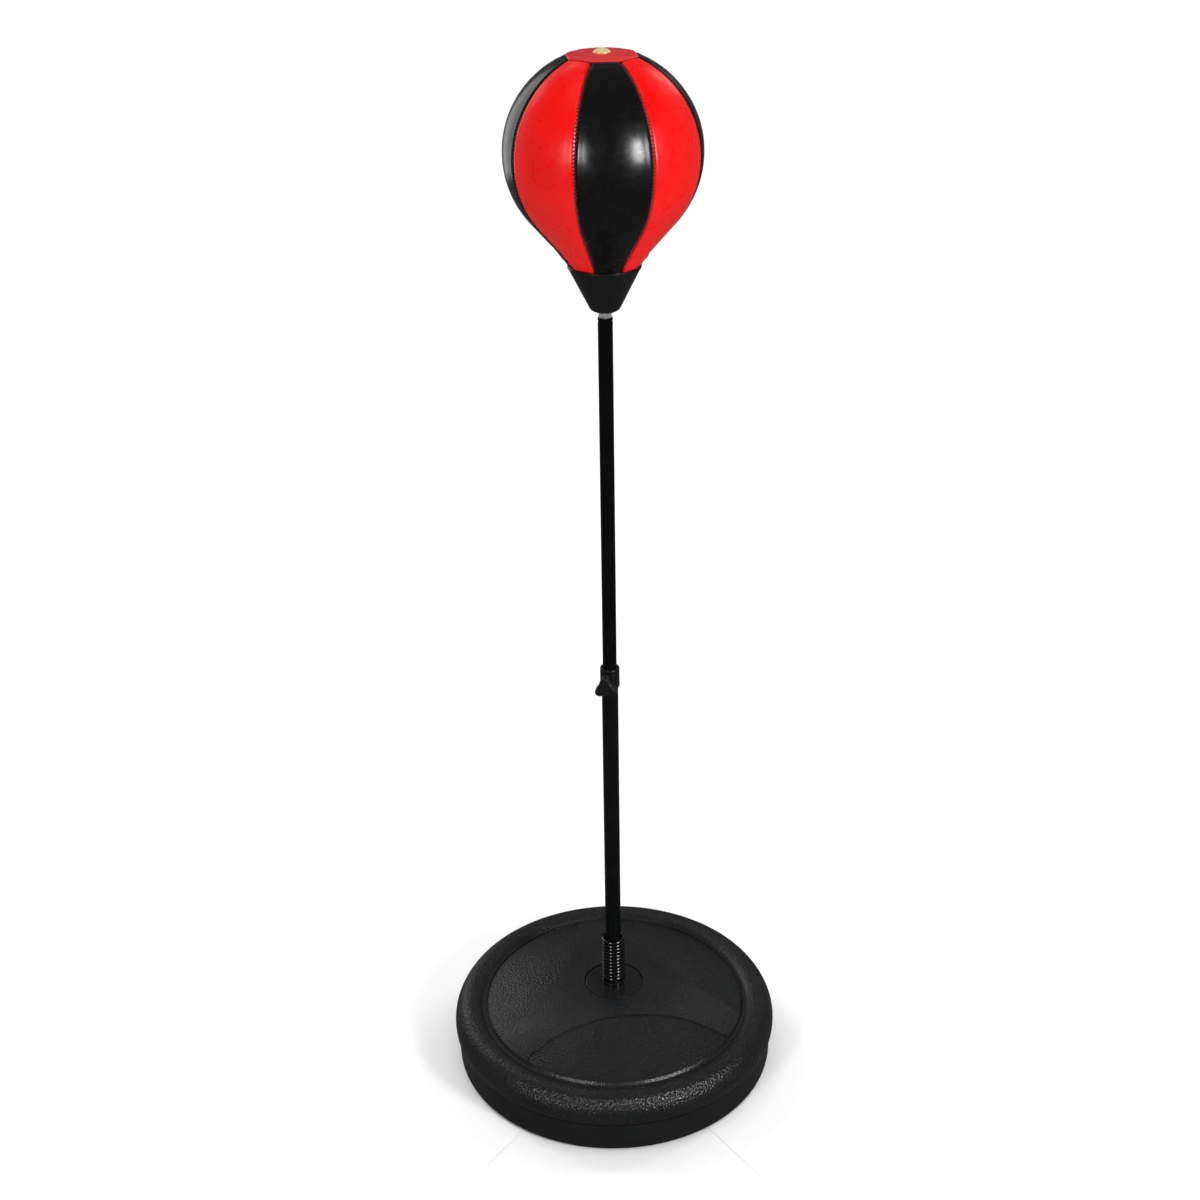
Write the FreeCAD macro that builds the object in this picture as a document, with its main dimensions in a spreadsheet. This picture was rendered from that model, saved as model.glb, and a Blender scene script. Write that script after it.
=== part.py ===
"""A free-standing punch ball: a fillable base, a spring, a telescopic pole and a stitched ball in a cup.

Millimetres. The origin is the centre of the base's foot on the floor, +Z is up and the front is -Y.
One STEP file for each sub-part goes to parts/.
"""

import FreeCAD, Part
import math
import os

import Sketcher

DIMENSIONS = (
    ("base_radius", 200, "the rounded rim at its widest"),
    ("base_height", 97, "the floor to the flat round the screw cap"),
    ("base_wall", 3.6, "moulded wall of the upper shell"),
    ("pan_wall", 3.2, "moulded wall of the lower pan"),
    ("seam_height", 40, "where the shell sits on the pan"),
    ("seam_gap", 1.2, "open line between the two mouldings"),
    ("crest_radius", 180, "the rim's highest circle"),
    ("crest_height", 75.5, "the rim's height"),
    ("dome_flat_radius", 42, "flat ring round the screw cap"),
    ("dome_edge_radius", 160, "where the dome meets the ring groove"),
    ("dome_curve", 300, "radius of the dome's section"),
    ("groove_floor", 69.5, "height of the ring groove's floor"),
    ("panel_recess", 1.6, "depth of the three grained fields in the dome"),
    ("field_curve", 250, "radius of each field's inner edge"),
    ("field_reach", 67, "the pole axis to each field's inner edge"),
    ("field_turn", -81.5, "direction of the front field, in degrees"),
    ("cap_radius", 35.5, "screw cap flange"),
    ("cap_thread_radius", 29.2, "outside of the cap's threaded skirt"),
    ("cap_depth", 25, "cap top to the end of its skirt"),
    ("cap_clearance", 0.3, "cap skirt to neck"),
    ("cap_gap", 1.3, "ring gap round the cap"),
    ("seal_thickness", 1.8, "flat rubber seal"),
    ("recess_depth", 7, "cap recess in the shell"),
    ("wire", 4.6, "spring wire diameter"),
    ("coil_radius", 12.1, "spring, axis to the wire's centre"),
    ("coil_pitch", 5, "spring pitch"),
    ("coil_turns", 12.5, "spring turns"),
    ("seat_height", 5, "flange that the spring stands on"),
    ("seat_stud", 5, "M10 stud radius"),
    ("lower_tube_radius", 9.5, "19 mm tube"),
    ("lower_tube_bore", 8.3, "its bore radius"),
    ("lower_tube_start", 149, "bottom end, inside the spring"),
    ("lower_tube_end", 541, "top end, inside the collar"),
    ("upper_tube_radius", 8, "16 mm tube"),
    ("upper_tube_bore", 7, "its bore radius"),
    ("upper_tube_start", 421, "bottom end, inside the lower tube"),
    ("upper_tube_end", 961, "top end, under the lock nut"),
    ("collar_radius", 11.2, "clamp collar"),
    ("collar_start", 520.5, "underside of the clamp collar"),
    ("collar_end", 545.5, "top of the clamp collar"),
    ("clamp_height", 532, "axis of the clamp screw"),
    ("clamp_turn", -10.8, "the clamp screw's turn from the front, in degrees"),
    ("clamp_screw_radius", 3, "M6 clamp screw"),
    ("boss_reach", 18, "pole axis to the front of the collar's boss"),
    ("boss_width", 14, "collar boss"),
    ("boss_height", 16, "collar boss"),
    ("nut_side", 10, "square nut in the boss"),
    ("nut_depth", 5, "its thickness"),
    ("nut_start", 10.8, "pole axis to the nut"),
    ("nut_play", 0.1, "clearance between the nut and its slot"),
    ("knob_start", 19.5, "pole axis to the knob's back"),
    ("knob_depth", 11, "knob thickness"),
    ("knob_bore", 7.5, "depth of the screw's seat in the knob"),
    ("knob_hub_radius", 9, "knob hub"),
    ("knob_recess_radius", 5.2, "round recess in the knob's face"),
    ("knob_recess_depth", 1, "depth of that recess"),
    ("knob_spin", 5, "turn of the knob's lobes at rest, in degrees"),
    ("lobe_radius", 5.2, "knob lobe"),
    ("lobe_reach", 9.4, "knob axis to a lobe's centre"),
    ("lobe_count", 3, "knob lobes"),
    ("web_fillet", 3, "hollow between two lobes"),
    ("knob_fillet", 1.6, "rounded edges of the knob"),
    ("bolt_radius", 4, "M8 bolt of the ball cup"),
    ("cup_floor", 967.5, "underside of the ball cup"),
    ("cup_rim", 1018, "top of the ball cup"),
    ("cup_rim_radius", 38.5, "ball cup at its lip"),
    ("cup_base_radius", 16.8, "ball cup at its bottom edge"),
    ("cup_wall", 2.5, "ball cup"),
    ("ball_centre", 1132, "height of the ball's centre"),
    ("ball_radius", 101.5, "ball"),
    ("ball_skin", 1.6, "coated fabric and its lining"),
    ("ball_taper", 41.1, "degrees under the equator where the neck's cone starts"),
    ("neck_radius", 35.3, "ball at the cup's rim"),
    ("panel_count", 8, "panels round the ball"),
    ("panel_turn", -83.5, "direction of the front panel, in degrees"),
    ("panel_gap", 0.4, "seam gap between panels, in degrees"),
    ("patch_radius", 36.5, "round patch on the crown"),
    ("patch_rise", 97.5, "ball centre to the patch's top"),
    ("bladder_wall", 1.2, "rubber bladder"),
    ("bladder_crown", 40, "where the bladder's flat crown starts"),
    ("eyelet_radius", 9, "brass eyelet"),
    ("eyelet_rise", 4.4, "height of the eyelet above the patch"),
    ("needle_radius", 1.3, "valve hole for a pump needle"),
)

doc = FreeCAD.newDocument("PunchBallStand")
sheet = doc.addObject("Spreadsheet::Sheet", "Sizes")
for line, (alias, number, note) in enumerate(DIMENSIONS, start=1):
    sheet.set(f"A{line}", alias)
    sheet.set(f"B{line}", str(number))
    sheet.setAlias(f"B{line}", alias)
    sheet.set(f"C{line}", note)
doc.recompute()


class Size:
    """A number worked out from the sheet: its value now, and the expression that keeps it bound."""

    def __init__(self, value, text):
        self.value = float(value)
        self.text = text

    def _with(self, other, sign, value):
        return Size(value, f"({self.text} {sign} {size(other).text})")

    def __add__(self, other):
        return self._with(other, "+", self.value + size(other).value)

    def __sub__(self, other):
        return self._with(other, "-", self.value - size(other).value)

    def __mul__(self, other):
        return self._with(other, "*", self.value * size(other).value)

    def __truediv__(self, other):
        return self._with(other, "/", self.value / size(other).value)

    def __rsub__(self, other):
        return size(other) - self

    def __neg__(self):
        return Size(-self.value, f"(-{self.text})")

    def cos(self):
        return Size(math.cos(math.radians(self.value)), f"cos({self.text})")

    def sin(self):
        return Size(math.sin(math.radians(self.value)), f"sin({self.text})")

    def root(self):
        return Size(math.sqrt(self.value), f"sqrt({self.text})")


def size(given):
    """A sheet alias, a number or a Size, as a Size."""
    if isinstance(given, Size):
        return given
    if isinstance(given, str):
        return Size(sheet.get(given), f"Sizes.{given}")
    return Size(given, repr(float(given)))


def reach(radius, along):
    """The other coordinate of a point on a circle of that radius."""
    radius = size(radius)
    along = size(along)
    return (radius * radius - along * along).root()


PARTS = []


def keep(piece, name):
    """Labels a finished sub-part and lists it for export."""
    piece.Label = name
    PARTS.append(piece)
    return piece


def new_body(name):
    return keep(doc.addObject("PartDesign::Body", name), name)


def plane(body, role):
    return next(f for f in body.Origin.OriginFeatures if f.Role == role)


def new_sketch(body, name, role, offset=None):
    """A sketch on one of the body's own origin planes, or lifted off it by an offset."""
    sketch = body.newObject("Sketcher::SketchObject", f"{body.Name}_{name}")
    sketch.AttachmentSupport = [(plane(body, role), "")]
    sketch.MapMode = "FlatFace"
    if offset is not None:
        sketch.setExpression("AttachmentOffset.Base.z", size(offset).text)
    return sketch


def bind(sketch, kind, places, given):
    """Adds one driving dimension to a sketch and binds it to its expression."""
    index = sketch.addConstraint(Sketcher.Constraint(kind, *places, given.value))
    sketch.setExpression(f"Constraints[{index}]", given.text)


def pin_point(sketch, edge, end, x, y):
    """Fixes one end of an edge at a place worked out from the sheet."""
    for kind, given, axis in (("DistanceX", size(x), -2), ("DistanceY", size(y), -1)):
        if given.value == 0:
            sketch.addConstraint(Sketcher.Constraint("PointOnObject", edge, end, axis))
        elif given.value > 0:
            bind(sketch, kind, (-1, 1, edge, end), given)
        else:
            bind(sketch, kind, (edge, end, -1, 1), -given)


def arc_between(start, stop, radius, side):
    """The short arc between two points; its centre is to the left of the way for side 1, right for -1."""
    across = stop - start
    offset = math.sqrt(max(radius**2 - across.Length**2 / 4, 0)) * side
    normal = FreeCAD.Vector(-across.y, across.x, 0).normalize()
    centre = (start + stop) / 2 + normal * offset
    first, last = (start, stop) if side > 0 else (stop, start)
    angles = [math.atan2(p.y - centre.y, p.x - centre.x) for p in (first, last)]
    circle = Part.Circle(centre, FreeCAD.Vector(0, 0, 1), radius)
    return Part.ArcOfCircle(circle, *angles)


def outline(sketch, *points):
    """A closed outline. A point is (x, y), or (x, y, radius, side) where an arc leads to it from the last."""
    places = [FreeCAD.Vector(size(p[0]).value, size(p[1]).value, 0) for p in points]
    ends = []
    for index, point in enumerate(points):
        start, stop = places[index - 1], places[index]
        if len(point) == 4:
            radius, side = size(point[2]), point[3]
            edge = sketch.addGeometry(arc_between(start, stop, radius.value, side))
            ends.append((edge, 1, 2) if side > 0 else (edge, 2, 1))
            bind(sketch, "Radius", (edge,), radius)
        else:
            edge = sketch.addGeometry(Part.LineSegment(start, stop))
            ends.append((edge, 1, 2))
    for index, point in enumerate(points):
        edge, _, last = ends[index]
        after, first, _ = ends[(index + 1) % len(points)]
        sketch.addConstraint(Sketcher.Constraint("Coincident", edge, last, after, first))
        pin_point(sketch, edge, last, point[0], point[1])


def circle(sketch, radius, x=0, y=0):
    radius = size(radius)
    centre = FreeCAD.Vector(size(x).value, size(y).value, 0)
    edge = sketch.addGeometry(Part.Circle(centre, FreeCAD.Vector(0, 0, 1), radius.value))
    bind(sketch, "Radius", (edge,), radius)
    pin_point(sketch, edge, 3, x, y)


def turned(name, *points, degrees=360):
    """A body of revolution about Z, from an outline of (radius, height) points."""
    body = new_body(name)
    sketch = new_sketch(body, "Profile", "XZ_Plane")
    outline(sketch, *points)
    turn = body.newObject("PartDesign::Revolution", f"{name}_Turn")
    turn.Profile = sketch
    turn.ReferenceAxis = (sketch, ["V_Axis"])
    if isinstance(degrees, Size):
        turn.Midplane = True
        turn.setExpression("Angle", degrees.text)
    else:
        turn.Angle = degrees
    sketch.Visibility = False
    return body


def extrude(body, kind, sketch, length, reverse=False):
    """A Pad or Pocket of one sketch."""
    feature = body.newObject(f"PartDesign::{kind}", f"{sketch.Name}_{kind}")
    feature.Profile = sketch
    feature.Type = "Length"
    feature.setExpression("Length", size(length).text)
    feature.Reversed = reverse
    return feature


def ring(name, inner, outer, bottom, top):
    """A plain ring or tube."""
    return turned(name, (inner, bottom), (outer, bottom), (outer, top), (inner, top))


def hexagon_nut(name, across_flats, bore, bottom, height, degrees=0):
    """A hexagon nut on the pole's axis: a six-sided prism less its bore."""
    prism = doc.addObject("Part::Prism", f"{name}_Prism")
    prism.Polygon = 6
    prism.setExpression("Circumradius", (size(across_flats) / math.sqrt(3)).text)
    prism.setExpression("Height", size(height).text)
    hole = doc.addObject("Part::Cylinder", f"{name}_Hole")
    hole.setExpression("Radius", size(bore).text)
    hole.setExpression("Height", size(height).text)
    nut = doc.addObject("Part::Cut", name)
    nut.Base = prism
    nut.Tool = hole
    nut.setExpression("Placement.Base.z", size(bottom).text)
    nut.Placement.Rotation = FreeCAD.Rotation(FreeCAD.Vector(0, 0, 1), degrees)
    return keep(nut, name)


def turn_about_pole(piece, degrees):
    """Turns a finished piece about the pole by an angle from the sheet."""
    piece.setExpression("Placement.Rotation.Angle", size(degrees).text)
    return piece


# ---------------------------------------------------------------- base
BASE = size("base_height")
WALL = size("base_wall")
RECESS_RADIUS = size("cap_radius") + "cap_gap"
RECESS_FLOOR = BASE - "recess_depth"
NECK_RADIUS = size("cap_thread_radius") + "cap_clearance"
NECK_END = size(66)
RIM_ARC = size(17)
RIM_FLANK = size(30.5)
SEAM_RADIUS = size("base_radius") - 1.7
TONGUE_RADIUS = size(192)


def dome_height(radius, offset=0):
    """Height of the dome's section at a radius; offset lowers the surface along its own normal."""
    curve = size("dome_curve") - offset
    return BASE - size("dome_curve") + reach(curve, size(radius) - "dome_flat_radius")


def base_top_shell():
    edge = size("dome_edge_radius")
    floor = size("groove_floor")
    return turned(
        "base_top_shell",
        (NECK_RADIUS, NECK_END),
        (NECK_RADIUS, RECESS_FLOOR),
        (RECESS_RADIUS, RECESS_FLOOR),
        (RECESS_RADIUS, BASE),
        ("dome_flat_radius", BASE),
        (edge, dome_height(edge), "dome_curve", -1),
        (edge + 2.5, floor),
        (edge + 6, floor),
        ("crest_radius", "crest_height", 19.3, -1),
        (size("crest_radius") + 13.2, size("crest_height") - 6.3, RIM_ARC, -1),
        (SEAM_RADIUS, "seam_height", RIM_FLANK, -1),
        (TONGUE_RADIUS, "seam_height"),
        (TONGUE_RADIUS, size("seam_height") + 6),
        (size("base_radius") - WALL, size("seam_height") + 10),
        (size("crest_radius") + 11, size("crest_height") - 9.5, RIM_FLANK - WALL, 1),
        ("crest_radius", size("crest_height") - WALL, RIM_ARC - WALL, 1),
        (edge + 7, floor - WALL),
        (edge + 1, floor - WALL),
        (edge - 1.5, dome_height(edge - 1.5, WALL)),
        ("dome_flat_radius", BASE - WALL, size("dome_curve") - WALL, 1),
        (RECESS_RADIUS + WALL, BASE - WALL),
        (RECESS_RADIUS + WALL, RECESS_FLOOR - WALL),
        (NECK_RADIUS + WALL, RECESS_FLOOR - WALL),
        (NECK_RADIUS + WALL, NECK_END),
    )


def sink_fields(shell):
    """Sinks the three grained fields into the dome: a skin of the dome met by three big discs."""
    edge = size("dome_edge_radius")
    skin = turned(
        "dome_skin",
        ("dome_flat_radius", BASE - "panel_recess"),
        (edge, dome_height(edge, "panel_recess"), size("dome_curve") - "panel_recess", -1),
        (edge, BASE),
        ("dome_flat_radius", BASE),
    )
    PARTS.remove(skin)
    discs = []
    for index in range(3):
        disc = doc.addObject("Part::Cylinder", f"field_disc_{index + 1}")
        disc.setExpression("Radius", "Sizes.field_curve")
        disc.setExpression("Height", "Sizes.base_height")
        angle = size("field_turn") + 120 * index
        distance = size("field_reach") + "field_curve"
        disc.setExpression("Placement.Base.x", (distance * angle.cos()).text)
        disc.setExpression("Placement.Base.y", (distance * angle.sin()).text)
        discs.append(disc)
    fields = doc.addObject("Part::MultiFuse", "field_discs")
    fields.Shapes = discs
    cutter = doc.addObject("Part::Common", "field_cutter")
    cutter.Base = skin
    cutter.Tool = fields
    cut = doc.addObject("Part::Cut", "base_top_shell_cut")
    cut.Base = shell
    cut.Tool = cutter
    PARTS.remove(shell)
    shell.Label = "base_top_shell_blank"
    return keep(cut, "base_top_shell")


def base_bottom_pan():
    wall = size("pan_wall")
    seam = size("seam_height")
    foot_outer = size("base_radius") - 10.5
    side = size("base_radius") - 4.5
    top = size("base_radius") - 3.2
    ledge = seam - "seam_gap"
    return turned(
        "base_bottom_pan",
        (0, 3),
        (140, 3),
        (146, 0),
        (foot_outer, 0),
        (side, 6, 6.1, 1),
        (top, ledge),
        (TONGUE_RADIUS + 2.5, ledge),
        (TONGUE_RADIUS + 2.5, seam),
        (TONGUE_RADIUS - 0.3, seam),
        (TONGUE_RADIUS - 0.3, seam + 5),
        (TONGUE_RADIUS - 2.8, seam + 5),
        (TONGUE_RADIUS - 2.8, seam - 4),
        (top - wall, seam - 7),
        (side - wall, 8),
        (foot_outer - 0.5, wall),
        (148, wall),
        (142, wall + 3),
        (0, wall + 3),
    )


# ---------------------------------------------------------------- screw cap and spring mount
CAP_FLANGE = RECESS_FLOOR + "seal_thickness"
BOSS_END = BASE - 13
WASHER_END = BOSS_END - 1.6
NUT_HEIGHT = 8
SPRING_START = BASE + "seat_height"
SPRING_END = SPRING_START + size("coil_pitch") * "coil_turns" + "wire"
BORE_PLAY = 0.05


def fill_cap():
    cap = turned(
        "fill_cap",
        (size("seat_stud") + 0.3, BOSS_END),
        (12, BOSS_END),
        (12, BASE - 8),
        (size("cap_thread_radius") - 3.2, BASE - 8),
        (size("cap_thread_radius") - 3.2, BASE - "cap_depth"),
        ("cap_thread_radius", BASE - "cap_depth"),
        ("cap_thread_radius", CAP_FLANGE),
        ("cap_radius", CAP_FLANGE),
        ("cap_radius", BASE - 0.8),
        (size("cap_radius") - 0.8, BASE),
        (size("seat_stud") + 0.3, BASE),
    )
    notch = new_sketch(cap, "Notch", "XY_Plane")
    circle(notch, 1.8, size("cap_radius") * 0.97, size("cap_radius") * 0.26)
    pocket = extrude(cap, "Pocket", notch, BASE + 1, reverse=True)
    cap.Tip = pocket
    return cap


def spring_seat():
    return turned(
        "spring_seat",
        (0, BASE - 24.5),
        ("seat_stud", BASE - 24.5),
        ("seat_stud", BASE),
        (14.4, BASE),
        (14.4, SPRING_START - 0.6),
        (13.8, SPRING_START),
        (9.2, SPRING_START),
        (9.2, SPRING_START + 16),
        (7.7, SPRING_START + 18),
        (0, SPRING_START + 18),
    )


def spring():
    body = new_body("spring")
    sketch = new_sketch(body, "Wire", "XZ_Plane")
    circle(sketch, size("wire") / 2, "coil_radius", SPRING_START + size("wire") / 2)
    coil = body.newObject("PartDesign::AdditiveHelix", "spring_Coil")
    coil.Profile = sketch
    coil.ReferenceAxis = (sketch, ["V_Axis"])
    coil.Mode = 1
    coil.setExpression("Pitch", "Sizes.coil_pitch")
    coil.setExpression("Turns", "Sizes.coil_turns")
    return body


def cap_parts():
    fill_cap()
    ring("fill_cap_seal", NECK_RADIUS + 0.6, size("cap_radius") - 0.4, RECESS_FLOOR, CAP_FLANGE)
    spring_seat()
    ring("spring_seat_washer", size("seat_stud") + 0.3, 10, WASHER_END, BOSS_END)
    bore = size("seat_stud") + BORE_PLAY
    hexagon_nut("spring_seat_nut", 17, bore, WASHER_END - NUT_HEIGHT, NUT_HEIGHT, 12)
    spring()


# ---------------------------------------------------------------- pole
SCREW_BORE = size("clamp_screw_radius") + 0.4
TUBE_SEAT = size("lower_tube_radius") + BORE_PLAY
PAD_START = size("upper_tube_radius") + 0.05
PAD_DEPTH = 2
SCREW_START = PAD_START + PAD_DEPTH
SCREW_END = size("knob_start") + "knob_bore" - 0.1


def lower_tube():
    tube = ring("lower_tube", "lower_tube_bore", "lower_tube_radius", "lower_tube_start", "lower_tube_end")
    hole = new_sketch(tube, "ScrewHole", "XZ_Plane")
    circle(hole, SCREW_BORE, 0, "clamp_height")
    tube.Tip = extrude(tube, "Pocket", hole, "collar_radius", reverse=True)
    return turn_about_pole(tube, "clamp_turn")


def lower_tube_plug():
    start = size("lower_tube_start")
    return turned(
        "lower_tube_plug",
        (0, start - 2),
        (8.5, start - 2),
        (9.2, start - 1.3),
        (9.2, start),
        (size("lower_tube_bore") - 0.05, start),
        (size("lower_tube_bore") - 0.05, start + 9),
        (7.4, start + 10),
        (0, start + 10),
    )


def clamp_collar():
    collar = turned(
        "clamp_collar",
        (TUBE_SEAT, "collar_start"),
        (size("collar_radius") - 0.6, "collar_start"),
        ("collar_radius", size("collar_start") + 0.6),
        ("collar_radius", size("collar_end") - 1.6),
        (size("collar_radius") - 1.6, "collar_end", 1.6, 1),
        (size("upper_tube_radius") + 0.3, "collar_end"),
        (size("upper_tube_radius") + 0.3, "lower_tube_end"),
        (TUBE_SEAT, "lower_tube_end"),
    )
    height = size("clamp_height")
    half_width = size("boss_width") / 2
    half_height = size("boss_height") / 2
    face = new_sketch(collar, "Boss", "XZ_Plane")
    outline(
        face,
        (-half_width, height - half_height),
        (half_width, height - half_height),
        (half_width, height + half_height),
        (-half_width, height + half_height),
    )
    extrude(collar, "Pad", face, "boss_reach")
    bore = new_sketch(collar, "TubeBore", "XY_Plane")
    circle(bore, TUBE_SEAT)
    extrude(collar, "Pocket", bore, "lower_tube_end", reverse=True)
    screw = new_sketch(collar, "ScrewBore", "XZ_Plane")
    circle(screw, SCREW_BORE, 0, height)
    extrude(collar, "Pocket", screw, size("boss_reach") + 1, reverse=True)
    side = size("nut_side") / 2 + "nut_play"
    back = size("nut_play") - "nut_start"
    front = -(size("nut_start") + "nut_depth" + "nut_play")
    slot = new_sketch(collar, "NutSlot", "XY_Plane", height + side)
    outline(slot, (-side, front), (side, front), (side, back), (-side, back))
    collar.Tip = extrude(collar, "Pocket", slot, side + half_height + 1)
    return turn_about_pole(collar, "clamp_turn")


def along_clamp(piece, start, spin=0):
    """Lays a piece that was made along Z on the clamp screw's axis, its base start from the pole's axis."""
    turn = size("clamp_turn")
    level = FreeCAD.Rotation(turn.value, 0, 90)
    piece.Placement.Rotation = level * FreeCAD.Rotation(FreeCAD.Vector(0, 0, 1), spin)
    piece.setExpression("Placement.Base.x", (size(start) * turn.sin()).text)
    piece.setExpression("Placement.Base.y", (-(size(start) * turn.cos())).text)
    piece.setExpression("Placement.Base.z", "Sizes.clamp_height")
    return piece


def clamp_nut():
    block = doc.addObject("Part::Box", "clamp_nut_Block")
    for side, corner in (("Length", "x"), ("Width", "y")):
        block.setExpression(side, "Sizes.nut_side")
        block.setExpression(f"Placement.Base.{corner}", (-(size("nut_side") / 2)).text)
    block.setExpression("Height", "Sizes.nut_depth")
    hole = doc.addObject("Part::Cylinder", "clamp_nut_Hole")
    hole.setExpression("Radius", (size("clamp_screw_radius") + BORE_PLAY).text)
    hole.setExpression("Height", "Sizes.nut_depth")
    nut = doc.addObject("Part::Cut", "clamp_nut")
    nut.Base = block
    nut.Tool = hole
    return keep(along_clamp(nut, "nut_start"), "clamp_nut")


def rod(name, radius, start, length):
    """A plain round piece on the clamp screw's axis."""
    piece = doc.addObject("Part::Cylinder", name)
    piece.setExpression("Radius", size(radius).text)
    piece.setExpression("Height", size(length).text)
    return keep(along_clamp(piece, start), name)


def edges_where(shape, test):
    return [f"Edge{i}" for i, edge in enumerate(shape.Edges, start=1) if test(edge)]


def clamp_knob():
    knob = new_body("clamp_knob")
    hub = new_sketch(knob, "Hub", "XY_Plane")
    circle(hub, "knob_hub_radius")
    extrude(knob, "Pad", hub, "knob_depth")
    lobe = new_sketch(knob, "Lobe", "XY_Plane")
    wide = size("lobe_radius")
    outline(lobe, (-wide, 0), (wide, 0), (wide, "lobe_reach"), (-wide, "lobe_reach", wide * 1.02, 1))
    pad = extrude(knob, "Pad", lobe, "knob_depth")
    pattern = knob.newObject("PartDesign::PolarPattern", "clamp_knob_Lobes")
    pattern.Originals = [pad]
    pattern.Axis = (hub, ["N_Axis"])
    pattern.Angle = 360
    pattern.setExpression("Occurrences", "Sizes.lobe_count")
    knob.Tip = pattern
    doc.recompute()
    hub_radius = size("knob_hub_radius").value

    def upright(edge):
        middle = edge.CenterOfMass
        level = abs(edge.tangentAt(edge.FirstParameter).z)
        return level > 0.99 and math.hypot(middle.x, middle.y) < hub_radius + 0.5

    web = knob.newObject("PartDesign::Fillet", "clamp_knob_Webs")
    web.Base = (pattern, edges_where(pattern.Shape, upright))
    web.setExpression("Radius", "Sizes.web_fillet")
    knob.Tip = web
    doc.recompute()
    depth = size("knob_depth").value

    def on_faces(edge):
        box = edge.BoundBox
        flat = box.ZLength < 0.01
        return flat and (abs(box.ZMin) < 0.01 or abs(box.ZMax - depth) < 0.01)

    soft = knob.newObject("PartDesign::Fillet", "clamp_knob_Edges")
    soft.Base = (web, edges_where(web.Shape, on_faces))
    soft.setExpression("Radius", "Sizes.knob_fillet")
    knob.Tip = soft
    doc.recompute()
    recess = new_sketch(knob, "Recess", "XY_Plane", "knob_depth")
    circle(recess, "knob_recess_radius")
    knob.Tip = extrude(knob, "Pocket", recess, "knob_recess_depth")
    bore = new_sketch(knob, "Bore", "XY_Plane")
    circle(bore, size("clamp_screw_radius") + BORE_PLAY)
    knob.Tip = extrude(knob, "Pocket", bore, "knob_bore", reverse=True)
    return along_clamp(knob, "knob_start", size("knob_spin").value)


def upper_tube():
    top = size("upper_tube_end")
    bead = size("upper_tube_radius") - 0.5
    return turned(
        "upper_tube",
        ("upper_tube_bore", "upper_tube_start"),
        ("upper_tube_radius", "upper_tube_start"),
        ("upper_tube_radius", top - 5.2),
        (bead, top - 4.4),
        (bead, top - 3.6),
        ("upper_tube_radius", top - 2.8),
        ("upper_tube_radius", top - 0.5),
        (size("upper_tube_radius") - 0.5, top),
        ("upper_tube_bore", top),
    )


def upper_tube_bush():
    start = size("upper_tube_start")
    slide = size("lower_tube_bore") - 0.08
    return turned(
        "upper_tube_bush",
        (4.5, start - 5),
        (slide - 0.6, start - 5),
        (slide, start - 4.4),
        (slide, start),
        (size("upper_tube_bore") - BORE_PLAY, start),
        (size("upper_tube_bore") - BORE_PLAY, start + 16),
        (4.5, start + 16),
    )


def pole_parts():
    lower_tube()
    lower_tube_plug()
    clamp_collar()
    clamp_nut()
    rod("clamp_pad", 2.8, PAD_START, PAD_DEPTH)
    rod("clamp_screw", "clamp_screw_radius", SCREW_START, SCREW_END - SCREW_START)
    clamp_knob()
    upper_tube()
    upper_tube_bush()
    top = size("upper_tube_end")
    insert_radius = size("upper_tube_bore") - BORE_PLAY
    ring("upper_tube_insert", size("bolt_radius") + BORE_PLAY, insert_radius, top - 20, top)
    hexagon_nut("lock_nut", 13, size("bolt_radius") + BORE_PLAY, top, size("cup_floor") - top, -83.2)


# ---------------------------------------------------------------- ball and cup
CENTRE = size("ball_centre")
BALL = size("ball_radius")
SKIN = size("ball_skin")
INSIDE_FLOOR = size("cup_floor") + 5
PLATE_START = INSIDE_FLOOR + 1.5
PLATE_END = PLATE_START + 4
BLADDER = BALL - SKIN - 0.3
BLADDER_TOP = CENTRE + reach(BLADDER, "bladder_crown") + 2.8


def ball_cup():
    floor = size("cup_floor")
    wall = size("cup_wall")
    rim = size("cup_rim")
    lip = size("cup_rim_radius")
    return turned(
        "ball_cup",
        (size("bolt_radius") + 0.3, floor),
        (9, floor),
        (13.6, floor + 1.6, 12, 1),
        ("cup_base_radius", floor + 5, 6, 1),
        (lip - 0.8, rim - 3.6),
        (lip, rim - 3),
        (lip, rim - 0.6),
        (lip - 0.6, rim),
        (lip - wall, rim),
        (size("cup_base_radius") - 2.3, INSIDE_FLOOR),
        (size("bolt_radius") + 0.3, INSIDE_FLOOR),
    )


def head_bolt():
    return turned(
        "head_bolt",
        (0, size("upper_tube_end") - 15),
        ("bolt_radius", size("upper_tube_end") - 15),
        ("bolt_radius", PLATE_END),
        (6.5, PLATE_END),
        (6.5, PLATE_END + 4),
        (5.5, PLATE_END + 5),
        (0, PLATE_END + 5),
    )


def neck_start(radius):
    """Where a surface of that ball radius leaves its sphere for the neck's cone."""
    angle = size("ball_taper")
    return radius * angle.cos(), CENTRE - radius * angle.sin()


def bladder():
    outer = BLADDER
    inner = outer - "bladder_wall"
    wall = size("bladder_wall")
    crown = size("bladder_crown")
    hole = 4.4
    neck = size("neck_radius") - SKIN - 0.9
    rim = size("cup_rim") + 1
    foot = PLATE_END + 7
    crown_height = CENTRE + reach(outer, crown)
    return turned(
        "bladder",
        (0, foot),
        (15.4, foot),
        (neck, rim),
        (*neck_start(outer),),
        (crown, crown_height, outer, 1),
        (hole, BLADDER_TOP),
        (hole, BLADDER_TOP - wall),
        (crown, crown_height - wall),
        (*neck_start(inner), inner, -1),
        (neck - wall - 0.3, rim + 1),
        (15.4 - wall, foot + wall),
        (0, foot + wall),
    )


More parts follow.
